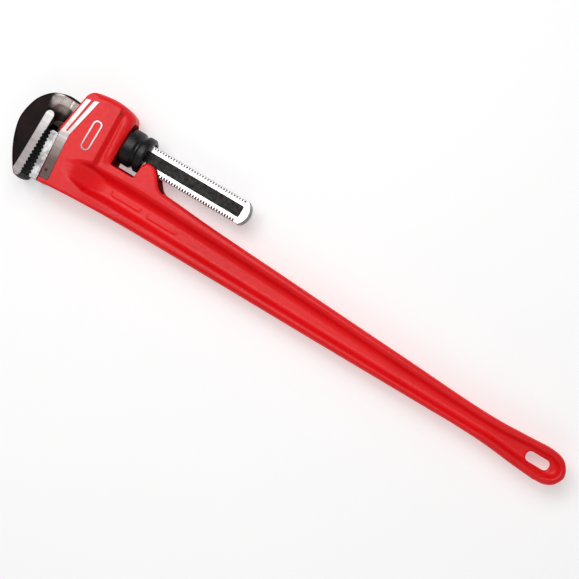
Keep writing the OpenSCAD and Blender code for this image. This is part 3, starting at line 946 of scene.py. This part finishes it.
def shank_shape():
    """A bar with teeth cut by a round comb on both edges and a sunk panel on each side.
    Also returns which faces are the panels' walls, the floors of the panels and of the gullets between the
    teeth (painted shade there), and the far end."""
    far = SHANK_REACH - SHANK_END_R
    gaps = [RACK[1] - THREAD_PITCH, RACK[1] - 1.5 * THREAD_PITCH]
    places = [SHANK_START, 20.0, RACK[0]]
    for last_gap in gaps:
        count = int((last_gap - RACK[0]) / THREAD_PITCH)
        for i in range(count + 1):
            middle = last_gap - i * THREAD_PITCH
            places += [middle + side * d for side in (-1, 1) for d in (GAP_ROOT, GAP_MIDDLE, GAP_CREST)]
    for angle in (39, 44, 50, 56, 62, 68, 74, 80, 85, 89):
        places.append(far + SHANK_END_R * math.sin(math.radians(angle)))
    x = np.array(sorted(set(round(p, 4) for p in places)))
    x = x[(np.append(np.diff(x), 1) > 0.02)]
    end = np.sqrt(np.maximum(SHANK_END_R ** 2 - np.maximum(x - far, 0) ** 2, 0.01))
    across = np.array([13, 12.65, 10.5, 8.2, 6, 3, 0, -3, -6, -8.2, -10.5, -12.65, -13])
    crown = np.interp(np.abs(across), [6, 12.65, 13], [SHANK_CREST, SHANK_SHOULDER, SHANK_SHOULDER - 0.3])

    def edge_heights(last_gap):
        """How high the toothed edge stands at each place along the shank and across it."""
        comb = np.sqrt(np.maximum(comb_radius(x, last_gap)[:, None] ** 2 - across[None, :] ** 2, 1))
        return np.minimum(crown[None, :], np.minimum(end[:, None], comb))

    top, bottom = [edge_heights(last_gap) for last_gap in gaps]
    band = np.minimum(PANEL_WIDTH / 2 + 1, end * 0.5)
    n = len(across)
    ring = 2 * n + 4
    points = []
    for i, place in enumerate(x):
        points += [(place, top[i, k], across[k]) for k in range(n)]
        points += [(place, band[i], -SHANK_HALF), (place, -band[i], -SHANK_HALF)]
        points += [(place, -bottom[i, n - 1 - k], across[n - 1 - k]) for k in range(n)]
        points += [(place, -band[i], SHANK_HALF), (place, band[i], SHANK_HALF)]
    # The side faces stay open between first and last, where the panels go.
    first = int(np.searchsorted(x, PANEL[0] - 1.5))
    last = int(np.searchsorted(x, PANEL[1] + 1.4)) - 1
    walls, floors, ends, faces = [], [], [], []
    for i in range(len(x) - 1):
        for k in range(ring):
            if k in (n, 2 * n + 2) and first <= i < last:
                continue
            a, b = i * ring + k, i * ring + (k + 1) % ring
            if x[i] > far + 14:
                ends.append(len(faces))
            upper, lower = k < n - 1, n + 2 <= k < 2 * n + 1
            if upper or lower:
                column = k if upper else k - n - 2
                middle = comb_radius(np.array([(x[i] + x[i + 1]) / 2]), gaps[0 if upper else 1])[0]
                # Faces at the teeth's roots go with the floors and get the black: painted shade in the
                # gullets.
                if middle < ROOT_R + 1.5 and abs(across[column] + across[column + 1]) < 23:
                    floors.append(len(faces))
            faces.append((a, b, b + ring, a + ring)[::-1])
    faces.append(tuple(range(ring)))
    ends.append(len(faces))
    faces.append(tuple(range((len(x) - 1) * ring, len(x) * ring))[::-1])
    panel_middle = ((PANEL[0] + PANEL[1]) / 2, 0)
    panel = anticlockwise(slot_outline(panel_middle, (PANEL[1] - PANEL[0], PANEL_WIDTH), 3.6))
    m = len(panel)
    for side, upper, lower in ((-1, n, n + 1), (1, 2 * n + 3, 2 * n + 2)):
        outer = [i * ring + lower for i in range(first, last + 1)]
        outer += [i * ring + upper for i in range(last, first - 1, -1)]
        start = len(points)
        for depth, d in ((0, 0.0), (0.5, 0.55), (PANEL_DEPTH, 0.95)):
            points += [(px, py, side * (SHANK_HALF - depth)) for px, py in inset(panel, d)]
        for i in range(2):
            for k in range(m):
                a, b = start + i * m + k, start + i * m + (k + 1) % m
                walls.append(len(faces))
                quad = (a, b, b + m, a + m)
                faces.append(quad if side > 0 else quad[::-1])
        floors.append(len(faces))
        floor = tuple(range(start + 2 * m, start + 3 * m))
        faces.append(floor if side > 0 else floor[::-1])
        hole = list(range(start, start + m))
        faces += cap_with_hole(points, outer, hole, side < 0)
    return points, faces, walls, floors, ends


def build_hook(black, tooth_black, strip, shank_metal, oxide_and_shade, scale):
    field, axes = hook_field()
    forging = add_cast("hook_forging", field, axes, "hook", black)
    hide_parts("hook_jaw")
    levels = edge_levels(JAW_HALF, 0.8)
    between = [(z, 0.0) for z in (-24, -20, -14, -7, 0, 7, 14, 20, 24)]
    half_count = len(levels) // 2
    points, faces = loft(grip_outline(), levels[:half_count] + between + levels[half_count:])
    # The nose is rounded across the jaw's thickness as well.
    points = [(x, y + NOSE_LIFT * abs(z / JAW_HALF) ** 2.4 * float(smoothstep(-116, -134, y)), z)
              for x, y, z in points]
    grip = add_object("hook_grip", points, faces, "hook", tooth_black, 35)
    grip.data.materials.append(strip)
    for face in grip.data.polygons:
        face.material_index = 1 if abs(face.normal.z) > 0.6 else 0
    points, faces, walls, floors, ends = shank_shape()
    shank = add_object("hook_shank", points, faces, "hook", shank_metal, 35)
    for more in (black, oxide_and_shade, scale):
        shank.data.materials.append(more)
    for index, chosen in ((1, walls), (2, floors), (3, ends)):
        for face in chosen:
            if index < 3 or abs(shank.data.polygons[face].normal.z) < 0.6:
                shank.data.polygons[face].material_index = index
    return forging


# ---------------- heel jaw

def build_heel(metal):
    teeth = tooth_row((HEEL_LEAN - 0.8, HEEL_BOTTOM + 0.8), (-0.8, HEEL_TOP), GRIP_PITCH, GRIP_DEPTH)
    low = HEEL_BOTTOM + 0.8
    outline = ([(HEEL_LEAN - 0.8, low)] + teeth + [(1.5, HEEL_TOP - 1), (2.5, HEEL_TOP)]
               + [(HEEL_DEPTH, HEEL_TOP), (HEEL_DEPTH + HEEL_LEAN, low)])
    tenon = [(12, -48), (38, -48), (38, -119), (16, -119)]
    shape = merge([loft(outline, edge_levels(HEEL_HALF, 0.6)), loft(tenon, edge_levels(TENON_HALF, 0.5))])
    heel = add_object("heel_insert", *shape, "housing", metal, 35)
    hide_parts("heel_jaw")
    return heel


# ---------------- adjusting nut

def nut_profile(local):
    """Outer radius of the nut along its length, without the knurl, and how deep the knurl is there."""
    places = [0, 0.6, 1.6, 3.0, 4.2, 18.4, 19.6, 21.0, 22.2, 26, 27.0, 28.4, 29.6, 38.0, 39.2, 40.4, 41.4, 42]
    radii = [26.6, 28.2, 29.8, 31.0, 31.5, 31.5, 31.0, 29.2, 28.2, 28.2, 29.2, 31.0, 31.5, 31.5, 31.0, 29.8,
             28.2, 26.6]
    r = np.interp(local, places, radii)
    depth = np.interp(local, [3.6, 4.6, 17.8, 18.8, 29.2, 30.2, 37.4, 38.4], [0, 1, 1, 0, 0, 1, 1, 0])
    return r, depth


def nut_shape():
    """The nut with two knurled bands outside and a thread inside."""
    around = 288
    angle = 2 * np.pi * np.arange(around) / around

    def rings(along, radius):
        return [(NUT_START + s, r * math.cos(a), r * math.sin(a))
                for s, row in zip(along, radius) for a, r in zip(angle, row)]

    along = np.concatenate([[0, 0.6, 1.6, 3.0], np.arange(3.8, 18.8, 0.5),
                            [19.6, 20.3, 21, 21.6, 22.2, 24, 26, 26.5, 27, 27.7, 28.4],
                            np.arange(29.2, 38.6, 0.5), [39.2, 40.4, 41.4, 42]])
    r, depth = nut_profile(along)
    saw = angle[None, :] * KNURL_TEETH / (2 * np.pi)
    lean = along[:, None] / KNURL_LEAN
    waves = [np.abs((saw + sign * lean) % 1 - 0.5) * 2 for sign in (1, -1)]
    groove = 1 - np.minimum(1, np.minimum(waves[0], waves[1]) * 2.4)
    outer = rings(along, r[:, None] - KNURL_DEPTH * depth[:, None] * groove)
    inside = np.arange(0, NUT_LENGTH + 0.01, 0.42)
    phase = (inside[:, None] / THREAD_PITCH - angle[None, :] / (2 * np.pi)) % 1
    ridge = np.clip((0.21 - np.abs(phase - 0.5)) / 0.08, 0, 1)
    run_out = np.clip(np.minimum(inside, NUT_LENGTH - inside), 0, 1)[:, None]
    inner = rings(inside, NUT_BORE - (NUT_BORE - NUT_THREAD_R - NUT_THREAD_CUT) * ridge * run_out)
    points = outer + inner
    first = len(outer)
    faces = grid_faces(len(along), around, flip=True)
    faces += [tuple(v + first for v in f) for f in grid_faces(len(inside), around)]
    for k in range(around):
        nxt = (k + 1) % around
        faces.append((k, nxt, first + nxt, first + k)[::-1])
        end_o, end_i = (len(along) - 1) * around, first + (len(inside) - 1) * around
        faces.append((end_o + k, end_o + nxt, end_i + nxt, end_i + k))
    return points, faces


def build_nut(metal):
    nut = add_object("knurled_nut", *nut_shape(), "nut", metal, 50)
    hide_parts("adjusting_nut")
    return nut


# ---------------- springs

def tube(path, r, segments=12):
    """A round wire along a smooth path."""
    p = np.asarray(path, float)
    way = np.gradient(p, axis=0)
    way /= np.linalg.norm(way, axis=1)[:, None]
    side = np.array([1.0, 0.2, 0.1])
    points = []
    for here, t in zip(p, way):
        side = side - t * (side @ t)
        side /= np.linalg.norm(side)
        other = np.cross(t, side)
        for k in range(segments):
            a = 2 * math.pi * k / segments
            points.append(tuple(here + r * (math.cos(a) * side + math.sin(a) * other)))
    return points, capped_grid(len(p), segments)


def build_springs(metal):
    """The coil over the flat spring's free end, and the flat spring with its eye round the pin."""
    turns = np.linspace(0, COIL_TURNS, int(COIL_TURNS * 28) + 1)
    ease = np.interp(turns, [0, 0.6, COIL_TURNS - 0.6, COIL_TURNS], [0.04, 0.10, 0.90, 0.96])
    path = [(COIL_AT[0] + COIL_R * math.cos(2 * math.pi * t), COIL_AT[1] + COIL_LENGTH * e,
             COIL_R * math.sin(2 * math.pi * t)) for t, e in zip(turns, ease)]
    coil = add_object("coil_wire", *tube(path, COIL_WIRE), "housing", metal, 60)
    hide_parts("coil_spring")
    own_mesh(coil)

    seat = SHANK_CREST + 0.3 + LEAF_T / 2
    leaf = spline([(40, 28.6), (49, 26.6), (57, 23.6), (64, seat), (72, 23.4), (79, 28), (82.6, 34)], 6)
    eye = (SPRING_PIN[0] - 0.66, SPRING_PIN[1] - 0.85)
    path = np.array(leaf[:-2] + arc(eye, LEAF_EYE_R + LEAF_T / 2, 205, 530, 30))
    way = np.gradient(path, axis=0)
    way /= np.linalg.norm(way, axis=1)[:, None]
    side = np.stack([-way[:, 1], way[:, 0]], 1) * LEAF_T / 2
    outline = [tuple(q) for q in path + side] + [tuple(q) for q in (path - side)[::-1]]
    w = LEAF_WIDTH / 2
    shape = loft(outline, [(-w, 0.25), (-w + 0.25, 0.0), (w - 0.25, 0.0), (w, 0.25)])
    leaf_piece = add_object("leaf_strip", *shape, "jaw_spring", metal, 40)
    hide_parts("flat_spring")


# ---------------- floor, light and camera

def build_stage():
    """A large floor, a hair below the wrench so that no two faces share a plane."""
    z = cad_low.z - 0.0006
    mesh = bpy.data.meshes.new("floor")
    n, reach = 24, 5.0
    places = [(i / n - 0.5) * 2 * reach for i in range(n + 1)]
    points = [(x, y, z) for x in places for y in places]
    faces = []
    for i in range(n):
        for k in range(n):
            a, b = i * (n + 1) + k, (i + 1) * (n + 1) + k
            faces.append((a, b, b + 1, a + 1))
    mesh.from_pydata(points, [], faces)
    mesh.materials.append(floor_white())
    floor = bpy.data.objects.new("floor", mesh)
    bpy.context.scene.collection.objects.link(floor)


def aim(obj, at, target):
    obj.location = at
    obj.rotation_mode = "QUATERNION"
    obj.rotation_quaternion = (Vector(target) - Vector(at)).to_track_quat("-Z", "Y")


def soft_light(name, at, target, size, power):
    data = bpy.data.lights.new(name, "AREA")
    data.shape = "RECTANGLE"
    data.size, data.size_y = size
    data.energy = power
    obj = bpy.data.objects.new(name, data)
    bpy.context.scene.collection.objects.link(obj)
    aim(obj, at, target)


def build_lights():
    """A pale surround that darkens a little upwards, and three soft lights."""
    world = bpy.data.worlds.new("studio")
    bpy.context.scene.world = world
    world.use_nodes = True
    tree = world.node_tree
    tree.nodes.clear()
    out = tree.nodes.new("ShaderNodeOutputWorld")
    back = tree.nodes.new("ShaderNodeBackground")
    coords = tree.nodes.new("ShaderNodeTexCoord")
    split = tree.nodes.new("ShaderNodeSeparateXYZ")
    spread = tree.nodes.new("ShaderNodeMapRange")
    for key, number in (("From Min", 0.0), ("From Max", 0.9), ("To Min", 0.36), ("To Max", 0.24)):
        spread.inputs[key].default_value = number
    tree.links.new(coords.outputs["Generated"], split.inputs[0])
    tree.links.new(split.outputs["Z"], spread.inputs["Value"])
    tree.links.new(spread.outputs["Result"], back.inputs["Color"])
    tree.links.new(back.outputs[0], out.inputs[0])
    soft_light("overhead", (-0.75, 0.75, 2.4), (-0.15, 0.05, 0), (2.6, 2.0), 45)
    soft_light("fill", (0.9, -1.7, 1.9), (0, 0, 0), (2.2, 1.2), 8)
    soft_light("glint", (-0.95, 0.55, 2.0), (-0.3, 0, 0), (0.3, 0.3), 2.4)


def build_camera():
    """Seen from above, leaning towards the handle, and rolled so that the handle runs down to the right."""
    target = Vector(to_row(PICTURE_MIDDLE))
    distance = MM_PER_PIXEL * PICTURE_WIDTH / 2 / math.tan(HALF_VIEW) / 1000
    along = Vector((math.cos(CAMERA_TILT), 0, -math.sin(CAMERA_TILT)))
    across = Vector((0, 1, 0))
    back = Vector((math.sin(CAMERA_TILT), 0, math.cos(CAMERA_TILT)))
    right = along * math.cos(CAMERA_ROLL) + across * math.sin(CAMERA_ROLL)
    up = -along * math.sin(CAMERA_ROLL) + across * math.cos(CAMERA_ROLL)
    data = bpy.data.cameras.new("camera")
    data.sensor_width = 36
    data.lens = data.sensor_width / 2 / math.tan(HALF_VIEW)
    data.clip_start, data.clip_end = 0.05, 50
    camera = bpy.data.objects.new("camera", data)
    bpy.context.scene.collection.objects.link(camera)
    turn = Matrix((right, up, back)).transposed().to_4x4()
    camera.matrix_world = Matrix.Translation(target + back * distance) @ turn
    bpy.context.scene.camera = camera


red = red_enamel()
# The stripe's steel darkens to a dark brown towards its foot: a painted fall-off of its reflection.
ground = ground_steel("ground_stripe", (0.60, 0.56, 0.55), (0.48, 0.43, 0.42), (0.082, 0.056, 0.051), 5, -90)
jaw_strip = ground_steel("jaw_strip", (0.60, 0.58, 0.57), (0.40, 0.375, 0.365), (0.25, 0.225, 0.22), -14, -70)
black = black_forging()
shank_metal = ground_steel("shank_metal", (0.88, 0.88, 0.89), (0.70, 0.69, 0.69), (0.20, 0.175, 0.155),
                           150, 16, "X", math.pi / 2)
heel_metal = mottled_steel("heel_metal")

build_camera()
build_stage()
build_lights()
build_housing(red, dull_red(), ground)
build_pins(dark_pin())
build_hook(black, black_oxide("tooth_black", (0.001, 0.001, 0.001), (0.006, 0.005, 0.005), (0.5, 0.7)),
           jaw_strip, shank_metal, recess_black(),
           mottled_steel("shank_end", (0.20, 0.20, 0.21), (0.10, 0.10, 0.105)))
build_heel(heel_metal)
build_nut(black_oxide("nut_black", rough=(0.2, 0.34)))
build_springs(spring_metal())

bpy.context.scene.view_settings.view_transform = "Standard"
